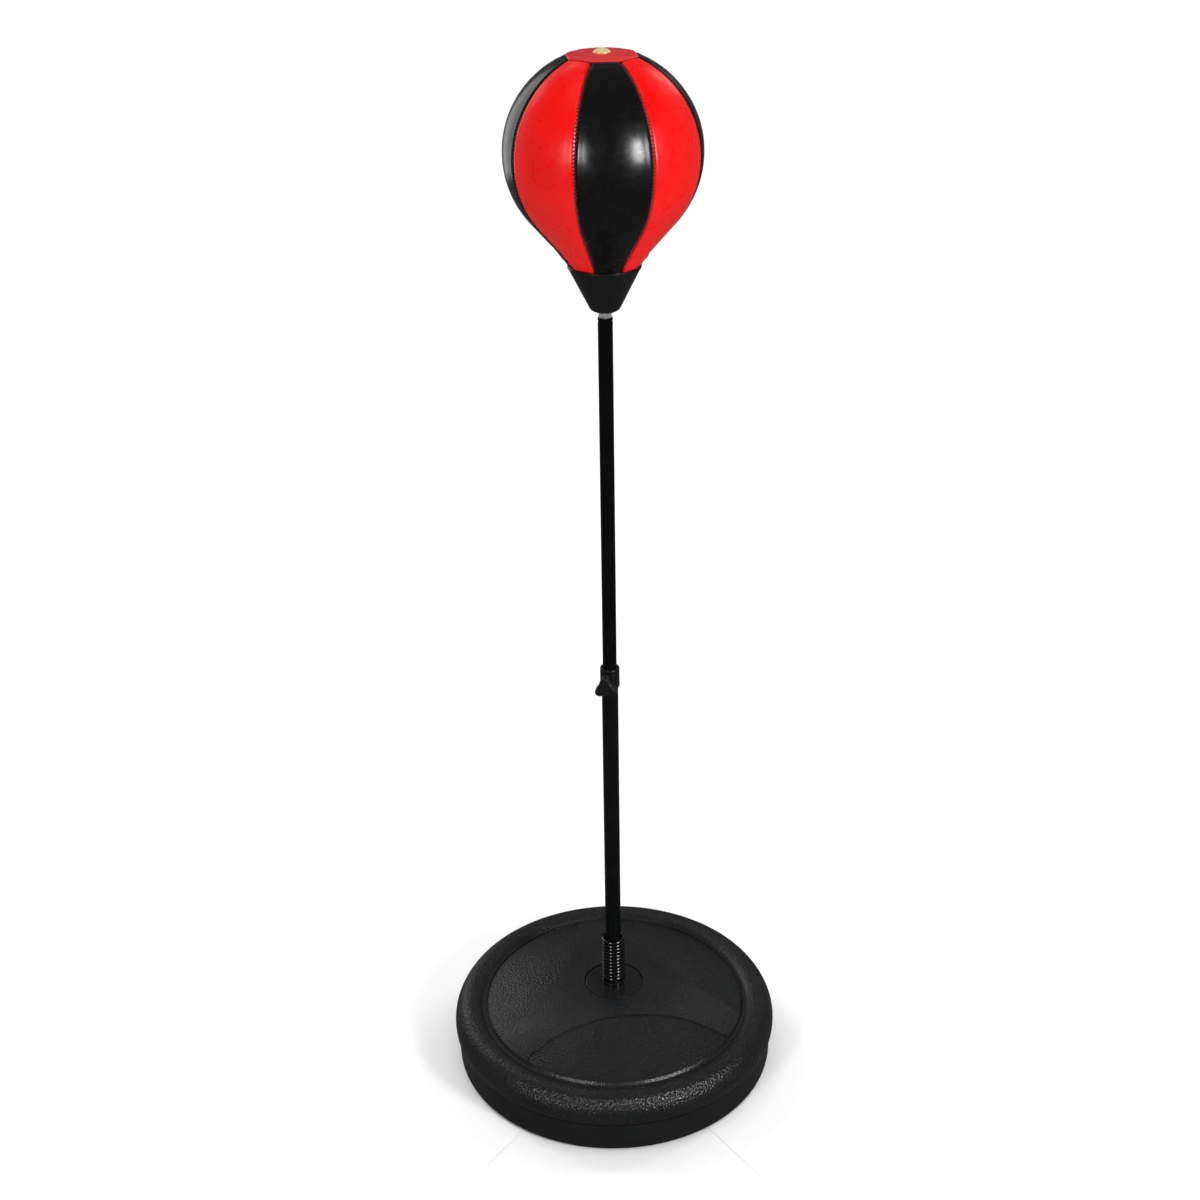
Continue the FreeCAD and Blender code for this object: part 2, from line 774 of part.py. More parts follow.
def panel(name, degrees):
    """One gore of the ball's cover, from the crown patch to the anchor plate in the cup."""
    inner = BALL - SKIN
    crown = size("patch_radius") + 0.3
    foot = PLATE_START + 2
    piece = turned(
        name,
        (crown, CENTRE + reach(inner, crown), inner, 1),
        (crown, CENTRE + reach(BALL, crown)),
        (*neck_start(BALL), BALL, -1),
        ("neck_radius", "cup_rim"),
        (14.3, foot),
        (12.8, foot),
        (size("neck_radius") - SKIN, size("cup_rim") + 0.8),
        (*neck_start(inner),),
        degrees=size(360) / "panel_count" - "panel_gap",
    )
    return turn_about_pole(piece, degrees)


def top_patch():
    top = CENTRE + "patch_rise"
    edge = CENTRE + reach(BALL, "patch_radius")
    return turned(
        "top_patch",
        (4.4, top - 1.4),
        ("patch_radius", edge - 1.4),
        ("patch_radius", edge),
        (4.4, top),
    )


def valve_eyelet():
    top = CENTRE + "patch_rise"
    return turned(
        "valve_eyelet",
        (3.5, top - 1.2),
        (4.2, top - 1.2),
        (4.2, top + 0.05),
        ("eyelet_radius", top + 0.05),
        ("eyelet_radius", top + 0.8),
        (4.6, top + "eyelet_rise", 7.5, 1),
        (3.5, top + 2.6),
    )


def valve_stem():
    """The bladder's rubber valve: a flange under the bladder and a stem up through the eyelet."""
    top = CENTRE + "patch_rise"
    under = BLADDER_TOP - "bladder_wall" - 0.3
    return turned(
        "valve_stem",
        ("needle_radius", under - 14),
        (3, under - 14),
        (3.4, under - 1.7),
        (7.5, under - 1.5),
        (7.5, under - 0.1),
        (3.4, under),
        (3.4, top + 1.4),
        ("needle_radius", top + 1.4),
    )


def ball_parts():
    ball_cup()
    ring("cup_washer", size("bolt_radius") + 0.3, 11, INSIDE_FLOOR, PLATE_START)
    ring("anchor_plate", size("bolt_radius") + 0.3, 12.4, PLATE_START, PLATE_END)
    head_bolt()
    bladder()
    count = int(size("panel_count").value)
    for index in range(count):
        colour = ("black", "red")[index % 2]
        turn = size("panel_turn") + size(360) / "panel_count" * index
        panel(f"panel_{colour}_{index // 2 + 1}", turn)
    top_patch()
    valve_eyelet()
    valve_stem()


# ---------------------------------------------------------------- build and export
sink_fields(base_top_shell())
base_bottom_pan()
cap_parts()
pole_parts()
ball_parts()
doc.recompute()

for item in doc.Objects:
    faults = {"Invalid", "Error"} & set(item.State)
    if faults:
        raise RuntimeError(f"{item.Name} is {item.State}")
for piece in PARTS:
    shape = piece.Shape
    if shape.isNull() or not shape.isValid() or not shape.Solids:
        raise RuntimeError(f"{piece.Label} has no valid solid")

os.makedirs("parts", exist_ok=True)
for piece in PARTS:
    piece.Shape.exportStep(f"parts/{piece.Label}.step")
    box = piece.Shape.optimalBoundingBox()
    print(
        f"{piece.Label:20s} {len(piece.Shape.Solids)} solid {piece.Shape.Volume:12.1f} mm3"
        f"  z {box.ZMin:8.2f} to {box.ZMax:8.2f}  r {box.XMax:7.2f}"
    )
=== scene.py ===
"""The looks of the free-standing punch ball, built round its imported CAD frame.

Metres, in the row frame: the floor is z = 0, +Z is up and the front is -Y. Small sizes are in
millimetres times MM. The ball's cover, crown patch, stitches, eyelet, spring and lock nut are
modelled here. Every other CAD piece stays and gets a material.
"""

import math

import bpy
from mathutils import Matrix, Vector, noise


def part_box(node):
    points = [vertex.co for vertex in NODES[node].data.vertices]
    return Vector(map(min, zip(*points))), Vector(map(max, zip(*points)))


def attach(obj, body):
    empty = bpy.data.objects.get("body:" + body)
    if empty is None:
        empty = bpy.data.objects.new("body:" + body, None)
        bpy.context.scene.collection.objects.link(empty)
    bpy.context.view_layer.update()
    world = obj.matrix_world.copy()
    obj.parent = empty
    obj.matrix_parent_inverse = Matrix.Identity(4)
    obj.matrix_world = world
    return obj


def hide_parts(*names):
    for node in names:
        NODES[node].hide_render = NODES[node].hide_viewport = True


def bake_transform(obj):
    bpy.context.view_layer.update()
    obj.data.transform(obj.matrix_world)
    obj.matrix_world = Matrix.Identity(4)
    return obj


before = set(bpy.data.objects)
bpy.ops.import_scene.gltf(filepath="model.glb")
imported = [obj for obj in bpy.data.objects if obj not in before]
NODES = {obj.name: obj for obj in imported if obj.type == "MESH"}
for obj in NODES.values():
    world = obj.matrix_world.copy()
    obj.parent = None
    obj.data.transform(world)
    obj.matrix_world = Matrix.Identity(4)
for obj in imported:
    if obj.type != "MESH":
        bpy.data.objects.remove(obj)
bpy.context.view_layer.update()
MM = 0.001

# ------------------------------------------------------------------ sizes read from the frame
PANEL_POINTS = [v.co for v in NODES["panel_black_1"].data.vertices]
WIDEST = max(PANEL_POINTS, key=lambda p: math.hypot(p.x, p.y))
BALL_RADIUS = math.hypot(WIDEST.x, WIDEST.y)
PATCH_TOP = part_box("top_patch")[1].z
PATCH_OVERHANG = 0.6 * MM
PATCH_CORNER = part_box("top_patch")[1].x + PATCH_OVERHANG
CUP_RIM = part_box("ball_cup")[1].z
CUP_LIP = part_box("ball_cup")[1].x
COVER_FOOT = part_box("panel_black_1")[0].z + 3 * MM
SPRING_FOOT, SPRING_HEAD = (corner.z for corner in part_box("spring"))
SPRING_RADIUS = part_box("spring")[1].x
SEAM_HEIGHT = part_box("base_top_shell")[0].z

# ------------------------------------------------------------------ the base's three sunk fields
FIELD_TURN = -81.5
FIELD_REACH = 67 * MM
FIELD_CURVE = 250 * MM
DOME_EDGE = 160 * MM

# ------------------------------------------------------------------ sizes of the sewn ball
BALL_CENTRE = 1132 * MM
NECK_TAPER = math.radians(41.1)
NECK_RADIUS = CUP_LIP - 3.0 * MM
COVER_THICKNESS = 1.3 * MM
COVER_LENGTH = 307 * MM
COVER_FOOT_RADIUS = 15.5 * MM
PANELS = 8
PANEL_ARC = 2 * math.pi / PANELS
FRONT_PANEL = math.radians(-83.5)
STITCH_PITCH = 3.8 * MM
ROWS_PER_STITCH = 3
ROW_SPACING = STITCH_PITCH / ROWS_PER_STITCH
SEAM_GAP = 0.1 * MM


# ------------------------------------------------------------------ small tools
ALL_SMOOTH = 180


def mesh_piece(name, points, faces, material, smooth_angle=50):
    """A new mesh object, smooth but for edges sharper than the angle."""
    mesh = bpy.data.meshes.new(name)
    mesh.from_pydata([tuple(p) for p in points], [], faces)
    mesh.validate()
    mesh.shade_smooth()
    mesh.set_sharp_from_angle(angle=math.radians(smooth_angle))
    mesh.materials.append(material)
    piece = bpy.data.objects.new(name, mesh)
    bpy.context.scene.collection.objects.link(piece)
    return piece


def grid_faces(rows, columns, closed=False):
    """Quads of a grid of points stored row by row; closed joins the last column to the first."""
    faces = []
    for row in range(rows - 1):
        for column in range(columns if closed else columns - 1):
            here = row * columns + column
            beside = row * columns + (column + 1) % columns
            faces.append((here, beside, beside + columns, here + columns))
    return faces


def round_piece(name, outline, material, segments=96, smooth_angle=35):
    """A turned piece about Z, from a closed outline of (radius, height) points."""
    points = []
    for radius, height in outline + outline[:1]:
        for step in range(segments):
            angle = 2 * math.pi * step / segments
            points.append((radius * math.cos(angle), radius * math.sin(angle), height))
    faces = grid_faces(len(outline) + 1, segments, closed=True)
    piece = mesh_piece(name, points, faces, material, smooth_angle)
    merge_doubles(piece)
    return piece


def merge_doubles(piece, distance=1e-6):
    """Joins points that lie on each other."""
    modifier = piece.modifiers.new("joined", "WELD")
    modifier.merge_threshold = distance
    apply_modifiers(piece)


def apply_modifiers(piece):
    """Makes a piece's modifiers part of its mesh."""
    graph = bpy.context.evaluated_depsgraph_get()
    mesh = bpy.data.meshes.new_from_object(piece.evaluated_get(graph))
    piece.modifiers.clear()
    old = piece.data
    piece.data = mesh
    bpy.data.meshes.remove(old)


def rounded(outline, radius, steps=5):
    """An outline with its corners rounded off by short curves."""
    points = []
    for index, corner in enumerate(outline):
        corner = Vector(corner)
        beside = (outline[index - 1], outline[(index + 1) % len(outline)])
        arms = [Vector(other) - corner for other in beside]
        reach = min(radius, *(arm.length * 0.45 for arm in arms))
        first, last = (corner + arm.normalized() * reach for arm in arms)
        for step in range(steps + 1):
            t = step / steps
            points.append(tuple(first * (1 - t) ** 2 + corner * 2 * t * (1 - t) + last * t**2))
    return points


def bell(distance, width):
    """A smooth bump: 1 at no distance, nearly 0 past twice the width."""
    return math.exp(-((distance / width) ** 2))


def soft_noise(point, size, seed=0):
    """Smooth noise from about -1 to 1 with features of that size."""
    return noise.noise(Vector(point) / size + Vector((seed * 7.3, seed * 3.1, seed * 5.7)))


# ------------------------------------------------------------------ materials
class Look:
    """One procedural material: a Principled shader and the nodes that feed it."""

    def __init__(self, name, colour, roughness, **settings):
        self.material = bpy.data.materials.new(name)
        self.material.use_nodes = True
        self.tree = self.material.node_tree
        self.shader = self.tree.nodes["Principled BSDF"]
        self.colour = colour
        self.roughness = roughness
        self.shader.inputs["Base Color"].default_value = (*colour, 1)
        self.shader.inputs["Roughness"].default_value = roughness
        for socket, value in settings.items():
            self.shader.inputs[socket.replace("_", " ")].default_value = value
        self.place = self.add("ShaderNodeTexCoord").outputs["Object"]
        self.normal = None

    def add(self, kind, **settings):
        """A new shader node with those settings."""
        node = self.tree.nodes.new(kind)
        for key, value in settings.items():
            setattr(node, key, value)
        return node

    def feed(self, socket, value):
        """Links a socket to an output, or sets it to a plain value."""
        if isinstance(value, bpy.types.NodeSocket):
            self.tree.links.new(value, socket)
        else:
            socket.default_value = value

    def noise(self, size, detail=2.0, roughness=0.5, stretch=None):
        """Noise with features of that size in metres, from 0 to 1."""
        node = self.add("ShaderNodeTexNoise")
        node.inputs["Scale"].default_value = 1 / size
        node.inputs["Detail"].default_value = detail
        node.inputs["Roughness"].default_value = roughness
        self.feed(node.inputs["Vector"], self.stretched(stretch) if stretch else self.place)
        return node.outputs["Fac"]

    def cells(self, size):
        """Distance to the nearest of many scattered cell centres that far apart."""
        node = self.add("ShaderNodeTexVoronoi")
        node.inputs["Scale"].default_value = 1 / size
        self.feed(node.inputs["Vector"], self.place)
        return node.outputs["Distance"]

    def stretched(self, factors):
        """Object coordinates with each axis scaled; less than 1 draws a pattern out along it."""
        node = self.add("ShaderNodeVectorMath", operation="MULTIPLY")
        self.feed(node.inputs[0], self.place)
        node.inputs[1].default_value = factors
        return node.outputs["Vector"]

    def maths(self, operation, first, second=0.0):
        """The result of one operation on two outputs or numbers."""
        node = self.add("ShaderNodeMath", operation=operation)
        self.feed(node.inputs[0], first)
        self.feed(node.inputs[1], second)
        return node.outputs["Value"]

    def ranged(self, value, low, high, to_low, to_high):
        """The value's stretch from low to high, spread over to_low to to_high."""
        node = self.add("ShaderNodeMapRange")
        for socket, number in zip(range(1, 5), (low, high, to_low, to_high)):
            node.inputs[socket].default_value = number
        self.feed(node.inputs[0], value)
        return node.outputs[0]

    def vary_colour(self, factor, other):
        """Mixes the base colour towards another one by a factor from 0 to 1."""
        node = self.add("ShaderNodeMix", data_type="RGBA")
        self.feed(node.inputs["Factor"], factor)
        colour_in = next(s for s in node.inputs if s.identifier == "A_Color")
        colour_in.default_value = (*self.colour, 1)
        other_in = next(s for s in node.inputs if s.identifier == "B_Color")
        other_in.default_value = (*other, 1)
        result = next(s for s in node.outputs if s.identifier == "Result_Color")
        self.tree.links.new(result, self.shader.inputs["Base Color"])
        return self

    def vary_roughness(self, factor, spread):
        """Lets the roughness wander that far to each side of its own value."""
        low, high = self.roughness - spread, self.roughness + spread
        self.feed(self.shader.inputs["Roughness"], self.ranged(factor, 0.3, 0.7, low, high))
        return self

    def soften(self, radius):
        """Lets light catch on edges as if they were rounded to that radius; it comes before any bump."""
        node = self.add("ShaderNodeBevel", samples=6)
        node.inputs["Radius"].default_value = radius
        self.normal = node.outputs["Normal"]
        return self

    def bump(self, height, depth, strength=1.0):
        """Adds relief of that depth in metres; strength may be a number or a mask."""
        node = self.add("ShaderNodeBump")
        node.inputs["Distance"].default_value = depth
        self.feed(node.inputs["Strength"], strength)
        self.feed(node.inputs["Height"], height)
        if self.normal is not None:
            self.tree.links.new(self.normal, node.inputs["Normal"])
        self.normal = node.outputs["Normal"]
        self.tree.links.new(self.normal, self.shader.inputs["Normal"])
        return self


def shade(colour, factor):
    """A colour made lighter or darker by a factor."""
    return tuple(part * factor for part in colour)


def hide(name, colour, worn, roughness, level=0.4):
    """Glossy coated fabric: fine pores, faint creases and a slight change of colour and gloss."""
    look = Look(name, colour, roughness, Specular_IOR_Level=level, Coat_Weight=0.1, Coat_Roughness=0.16)
    patches = look.noise(28 * MM, detail=3)
    look.vary_colour(look.ranged(patches, 0.35, 0.75, 0, 0.6), worn)
    look.vary_roughness(look.noise(9 * MM, detail=2), 0.05)
    look.bump(look.noise(16 * MM, detail=1, stretch=(1, 1, 0.35)), 0.35 * MM, 0.5)
    look.bump(look.cells(1.3 * MM), 0.05 * MM, 0.35)
    look.bump(look.noise(0.5 * MM, detail=2), 0.02 * MM, 0.3)
    return look.material


def moulded(name, colour, worn, roughness, depth=0.08 * MM):
    """Injection-moulded plastic with a fine even grain of that depth and softly rounded edges."""
    look = Look(name, colour, roughness, Specular_IOR_Level=0.4)
    look.vary_colour(look.ranged(look.noise(35 * MM, detail=4), 0.4, 0.8, 0, 0.7), worn)
    look.vary_roughness(look.noise(12 * MM, detail=3), 0.04)
    look.soften(SOFT_EDGE)
    look.bump(look.noise(0.9 * MM, detail=2, roughness=0.6), depth, 0.6)
    return look.material


SOFT_EDGE = 0.5 * MM
BASE_BLACK = (0.0062, 0.0068, 0.0075)
BASE_WORN = (0.009, 0.0097, 0.0105)


def base_shell_plastic():
    """The base's upper moulding: grained all over, coarser on the rim and in the three sunk fields."""
    look = Look("base_shell_plastic", BASE_BLACK, 0.3, Specular_IOR_Level=0.5)
    look.vary_colour(look.ranged(look.noise(45 * MM, detail=5), 0.4, 0.8, 0, 0.8), BASE_WORN)
    look.vary_roughness(look.noise(20 * MM, detail=4), 0.04)
    look.soften(SOFT_EDGE)
    flat = look.stretched((1, 1, 0))
    fields = 0.0
    for index in range(3):
        angle = math.radians(FIELD_TURN + 120 * index)
        centre = Vector((math.cos(angle), math.sin(angle), 0)) * (FIELD_REACH + FIELD_CURVE)
        distance = look.add("ShaderNodeVectorMath", operation="DISTANCE")
        look.feed(distance.inputs[0], flat)
        distance.inputs[1].default_value = centre
        inside = look.ranged(distance.outputs["Value"], FIELD_CURVE - 1 * MM, FIELD_CURVE, 1, 0)
        fields = inside if index == 0 else look.maths("MAXIMUM", fields, inside)
    length = look.add("ShaderNodeVectorMath", operation="LENGTH")
    look.feed(length.inputs[0], flat)
    radius = length.outputs["Value"]
    dome = look.ranged(radius, DOME_EDGE - 1 * MM, DOME_EDGE, 1, 0)
    rim = look.ranged(radius, DOME_EDGE + 7 * MM, DOME_EDGE + 10 * MM, 0, 1)
    rough = look.maths("MAXIMUM", look.maths("MULTIPLY", fields, dome), rim)
    height = look.add("ShaderNodeSeparateXYZ")
    look.feed(height.inputs[0], look.place)
    look.bump(look.ranged(height.outputs["Z"], SEAM_HEIGHT, SEAM_HEIGHT + 3 * MM, 0, 1), 2.5 * MM)
    look.bump(look.cells(2.6 * MM), 0.9 * MM, look.ranged(rough, 0, 1, 0.35, 0.8))
    look.bump(look.noise(1.4 * MM, detail=2, roughness=0.6), 0.3 * MM, 0.7)
    return look.material


def painted(name, colour, roughness, level):
    """Black stoving paint on steel: smooth, with faint orange peel and rubbed patches."""
    look = Look(name, colour, roughness, Specular_IOR_Level=level)
    rubbed = look.ranged(look.noise(22 * MM, detail=4), 0.45, 0.85, 0, 1)
    look.vary_colour(rubbed, shade(colour, 1.8))
    look.vary_roughness(look.noise(14 * MM, detail=4, stretch=(1, 1, 0.3)), 0.06)
    look.bump(look.noise(2.2 * MM, detail=1), 0.04 * MM, 0.35)
    return look.material


def metal(name, colour, roughness, stretch=(1, 1, 0.15), metallic=1.0):
    """Bare or plated metal with faint drawn marks."""
    look = Look(name, colour, roughness, Metallic=metallic)
    dulled = look.ranged(look.noise(5 * MM, detail=4), 0.4, 0.8, 0, 0.7)
    look.vary_colour(dulled, shade(colour, 0.8))
    look.vary_roughness(look.noise(2 * MM, detail=3, stretch=stretch), 0.08)
    look.bump(look.noise(0.8 * MM, detail=2, stretch=stretch), 0.02 * MM, 0.3)
    return look.material


def rubber(name, colour):
    """Matt rubber with a pale bloom in patches."""
    look = Look(name, colour, 0.7, Specular_IOR_Level=0.35)
    bloom = look.ranged(look.noise(10 * MM, detail=3), 0.4, 0.8, 0, 1)
    look.vary_colour(bloom, shade(colour, 1.5))
    look.vary_roughness(look.noise(4 * MM, detail=2), 0.08)
    look.bump(look.noise(0.6 * MM, detail=2), 0.04 * MM, 0.5)
    return look.material


def thread(name, colour):
    """Sewing thread: a fine noise relief for its twisted plies."""
    look = Look(name, colour, 0.3, Specular_IOR_Level=0.7)
    look.vary_colour(look.noise(1.5 * MM, detail=2), shade(colour, 0.5))
    look.vary_roughness(look.noise(1 * MM), 0.08)
    look.bump(look.noise(0.25 * MM, detail=1), 0.05 * MM, 0.6)
    return look.material


def plain_stage(name, colour):
    """Matt backdrop paper, very nearly one even colour."""
    look = Look(name, colour, 0.85, Specular_IOR_Level=0.1)
    look.vary_colour(look.noise(1.5, detail=2), shade(colour, 0.99))
    return look.material


RED = hide("red_hide", (0.70, 0.001, 0.001), (0.60, 0.002, 0.002), 0.31, level=0.28)
PATCH_RED = hide("patch_hide", (0.55, 0.012, 0.014), (0.46, 0.018, 0.02), 0.38)
BLACK = hide("black_hide", (0.002, 0.002, 0.0022), (0.004, 0.004, 0.0044), 0.25)
THREAD = thread("dark_thread", (0.012, 0.003, 0.003))
BRASS = metal("eyelet_brass", (0.92, 0.74, 0.36), 0.36, stretch=(1, 1, 1), metallic=0.55)
ZINC = metal("zinc_plate", (0.66, 0.68, 0.70), 0.28)
NUT_ZINC = metal("nut_zinc", (0.5, 0.52, 0.54), 0.3, metallic=0.75)
SPRING_PAINT = painted("spring_paint", (0.0015, 0.0016, 0.0018), 0.15, 0.8)
NYLON_BLACK = (0.015, 0.015, 0.015)
NYLON_WORN = (0.02, 0.02, 0.02)

CAD_LOOKS = {
    "base_top_shell": base_shell_plastic(),
    "base_bottom_pan": moulded("base_pan_plastic", BASE_BLACK, BASE_WORN, 0.42),
    "fill_cap": moulded(
        "cap_plastic", (0.008, 0.0085, 0.009), (0.012, 0.012, 0.013), 0.13, depth=0.01 * MM
    ),
    "fill_cap_seal": rubber("seal_rubber", (0.012, 0.012, 0.012)),
    "spring_seat": painted("seat_paint", (0.004, 0.0045, 0.005), 0.2, 0.45),
    "spring_seat_washer": ZINC,
    "spring_seat_nut": ZINC,
    "lower_tube": painted("lower_tube_paint", (0.0022, 0.0026, 0.0026), 0.24, 0.16),
    "upper_tube": painted("upper_tube_paint", (0.0015, 0.0016, 0.0018), 0.22, 0.12),
    "lower_tube_plug": moulded("plug_nylon", NYLON_BLACK, NYLON_WORN, 0.4),
    "upper_tube_bush": moulded("bush_nylon", NYLON_BLACK, NYLON_WORN, 0.35),
    "upper_tube_insert": moulded("insert_nylon", NYLON_BLACK, NYLON_WORN, 0.4),
    "clamp_collar": moulded(
        "clamp_plastic", (0.003, 0.0034, 0.0036), (0.005, 0.0054, 0.0056), 0.3, depth=0.02 * MM
    ),
    "clamp_knob": moulded(
        "knob_plastic", (0.004, 0.0046, 0.0048), (0.006, 0.0066, 0.007), 0.33, depth=0.02 * MM
    ),
    "clamp_nut": ZINC,
    "clamp_screw": ZINC,
    "clamp_pad": moulded("pad_nylon", (0.55, 0.55, 0.52), (0.45, 0.45, 0.42), 0.4),
    "ball_cup": moulded(
        "cup_plastic", (0.004, 0.0043, 0.0045), (0.006, 0.0062, 0.0065), 0.3, depth=0.008 * MM
    ),
    "cup_washer": ZINC,
    "anchor_plate": ZINC,
    "head_bolt": ZINC,
    "bladder": rubber("bladder_rubber", (0.03, 0.026, 0.022)),
    "valve_stem": rubber("valve_rubber", (0.01, 0.01, 0.01)),
}
for node, material in CAD_LOOKS.items():
    NODES[node].data.materials.clear()
    NODES[node].data.materials.append(material)


# ------------------------------------------------------------------ the ball's cover
def patch_edge(turn):
    """Radius of the crown patch's edge: an octagon with bowed sides and its corners on the seams."""
    within = (turn - FRONT_PANEL + PANEL_ARC / 2) % PANEL_ARC - PANEL_ARC / 2
    flat = PATCH_CORNER * math.cos(PANEL_ARC / 2) / math.cos(within)
    return flat + 0.5 * MM * math.cos(within / PANEL_ARC * math.pi)


def cover_outline(edge_radius, spacing):
    """The cover's section from the patch to the anchor plate: evenly spaced (radius, height) points."""
    start = math.asin(edge_radius / BALL_RADIUS)
    end = math.pi / 2 + NECK_TAPER
    arc_steps = 60
    corners = []
    for step in range(arc_steps + 1):
        angle = start + (end - start) * step / arc_steps
        out, up = BALL_RADIUS * math.sin(angle), BALL_RADIUS * math.cos(angle)
        corners.append(Vector((out, BALL_CENTRE + up)))
    tail = [Vector((NECK_RADIUS, CUP_RIM)), Vector((COVER_FOOT_RADIUS, COVER_FOOT))]
    line = corners + tail
    lengths = [0.0]
    for first, last in zip(line, line[1:]):
        lengths.append(lengths[-1] + (last - first).length)
    count = round(COVER_LENGTH / spacing)
    even = []
    segment = 0
    for step in range(count + 1):
        along = lengths[-1] * step / count
        while segment < len(line) - 2 and lengths[segment + 1] < along:
            segment += 1
        share = (along - lengths[segment]) / (lengths[segment + 1] - lengths[segment])
        even.append(line[segment].lerp(line[segment + 1], share))
    for _ in range(8):
        inner = [(a + b * 2 + c) / 4 for a, b, c in zip(even, even[1:], even[2:])]
        even = [even[0], *inner, even[-1]]
    return even


def cover_relief(point, from_seam, from_patch):
    """How far the cover stands proud there: seams pulled in between padded edges, puckers, creases."""
    seam = -1.35 * MM * bell(from_seam, 1.1 * MM) + 0.35 * MM * bell(from_seam - 3.4 * MM, 2.0 * MM)
    pucker = math.cos(2 * math.pi * from_patch / STITCH_PITCH) * bell(from_seam - 1.2 * MM, 1.6 * MM)
    crown = -1.4 * MM * bell(from_patch, 1.3 * MM) + 0.3 * MM * bell(from_patch - 3.4 * MM, 2.2 * MM)
    above_cup = point.z - CUP_RIM
    squeeze = bell(above_cup - 6 * MM, 11 * MM)
    level = Vector((point.x, point.y, point.z * 4.5))
    crease = abs(soft_noise(level, 24 * MM, 1)) - 0.22
    gather = soft_noise((point.x, point.y, point.z * 0.25), 9 * MM, 2) * bell(from_patch, 9 * MM)
    broad = soft_noise((point.x, point.y, point.z * 0.5), 30 * MM, 3)
    return (
        seam
        + crown
        - 0.12 * MM * pucker
        - 2.2 * MM * crease * squeeze
        + 1.3 * MM * bell(above_cup - 4 * MM, 9 * MM)
        + 0.3 * MM * gather
        + 0.22 * MM * broad
    )


def cover_panel(index):
    """One sewn panel, curved between its two seams and turned in along them."""
    colour = ("black", "red")[index % 2]
    name = f"{colour}_{index // 2 + 1}"
    centre = FRONT_PANEL + PANEL_ARC * index
    columns = 33
    reach_to_seam = 0.9985
    pillow_depth = 0.9 * MM
    points = []
    lines = []
    for column in range(columns):
        share = math.sin(math.pi / 2 * (2 * column / (columns - 1) - 1))
        turn = centre + share * PANEL_ARC / 2 * reach_to_seam
        outline = cover_outline(patch_edge(turn) + SEAM_GAP, ROW_SPACING)
        lines.append((share, turn, outline))
    rows = len(lines[0][2])
    for row in range(rows):
        for share, turn, outline in lines:
            radius, height = outline[row]
            before, after = outline[max(row - 1, 0)], outline[min(row + 1, rows - 1)]
            slope = (after - before).normalized()
            flat = Vector((radius * math.cos(turn), radius * math.sin(turn), height))
            from_seam = (1 - abs(share)) * PANEL_ARC / 2 * radius
            along = row * ROW_SPACING
            proud = cover_relief(flat, from_seam, along) - pillow_depth * share**4
            reach = radius - slope.y * proud
            points.append((reach * math.cos(turn), reach * math.sin(turn), height + slope.x * proud))
    material = {"black": BLACK, "red": RED}[colour]
    piece = mesh_piece(f"cover_{name}", points, grid_faces(rows, columns), material, ALL_SMOOTH)
    piece.data.flip_normals()
    thicken(piece, COVER_THICKNESS)
    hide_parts(f"panel_{name}")
    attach(piece, "upper_pole")


def thicken(piece, thickness):
    """Turns a sheet into a closed skin, thickened inwards from its face."""
    modifier = piece.modifiers.new("thickness", "SOLIDIFY")
    modifier.thickness = thickness
    modifier.offset = -1
    apply_modifiers(piece)


def crown_height(radius):
    """Height of the crown patch's face at a radius."""
    edge = BALL_CENTRE + math.sqrt(BALL_RADIUS**2 - PATCH_CORNER**2)
    return edge + (PATCH_TOP - edge) * (1 - (radius / PATCH_CORNER) ** 2)


def crown_patch():
    """The eight-sided patch on the crown, pulled in along its sewn edge."""
    rings = 34
    columns = 240
    inner = 3.2 * MM
    points = []
    for ring in range(rings):
        share = math.sin(math.pi / 2 * ring / (rings - 1))
        for column in range(columns):
            turn = 2 * math.pi * column / columns
            edge = patch_edge(turn) - SEAM_GAP
            radius = inner + (edge - inner) * share
            from_edge = edge - radius
            fold = -1.3 * MM * bell(from_edge, 1.1 * MM)
            fold += 0.35 * MM * bell(from_edge - 3.2 * MM, 2 * MM)
            gather = soft_noise((radius * math.cos(turn), radius * math.sin(turn), 0), 6 * MM, 5)
            ripple = 0.25 * MM * gather * bell(from_edge, 9 * MM)
            press = -0.5 * MM * bell(radius - 9 * MM, 3 * MM)
            height = crown_height(radius) + fold + ripple + press
            points.append((radius * math.cos(turn), radius * math.sin(turn), height))
    faces = grid_faces(rings, columns, closed=True)
    piece = mesh_piece("crown_patch", points, faces, PATCH_RED, ALL_SMOOTH)
    thicken(piece, COVER_THICKNESS)
    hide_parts("top_patch")
    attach(piece, "upper_pole")


def stitches(name, places):
    """A row of short threads. A place is (middle, direction along the thread, direction outwards)."""
    points = []
    faces = []
    sides = 6
    rings = [(-1.0, 0.25), (-0.7, 0.8), (0, 1.0), (0.7, 0.8), (1.0, 0.25)]
    half_length = 1.9 * MM
    half_width = 0.6 * MM
    sag = 0.6 * MM
    for middle, along, outwards in places:
        across = along.cross(outwards)
        first = len(points)
        for share, width in rings:
            heart = middle + along * share * half_length - outwards * sag * share**2
            for side in range(sides):
                angle = 2 * math.pi * side / sides
                spoke = across * math.cos(angle) + outwards * math.sin(angle)
                points.append(heart + spoke * half_width * width)
        for face in grid_faces(len(rings), sides, closed=True):
            faces.append(tuple(first + corner for corner in face))
        faces.append(tuple(first + side for side in reversed(range(sides))))
        faces.append(tuple(first + (len(rings) - 1) * sides + side for side in range(sides)))
    piece = mesh_piece(name, points, faces, THREAD, ALL_SMOOTH)
    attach(piece, "upper_pole")


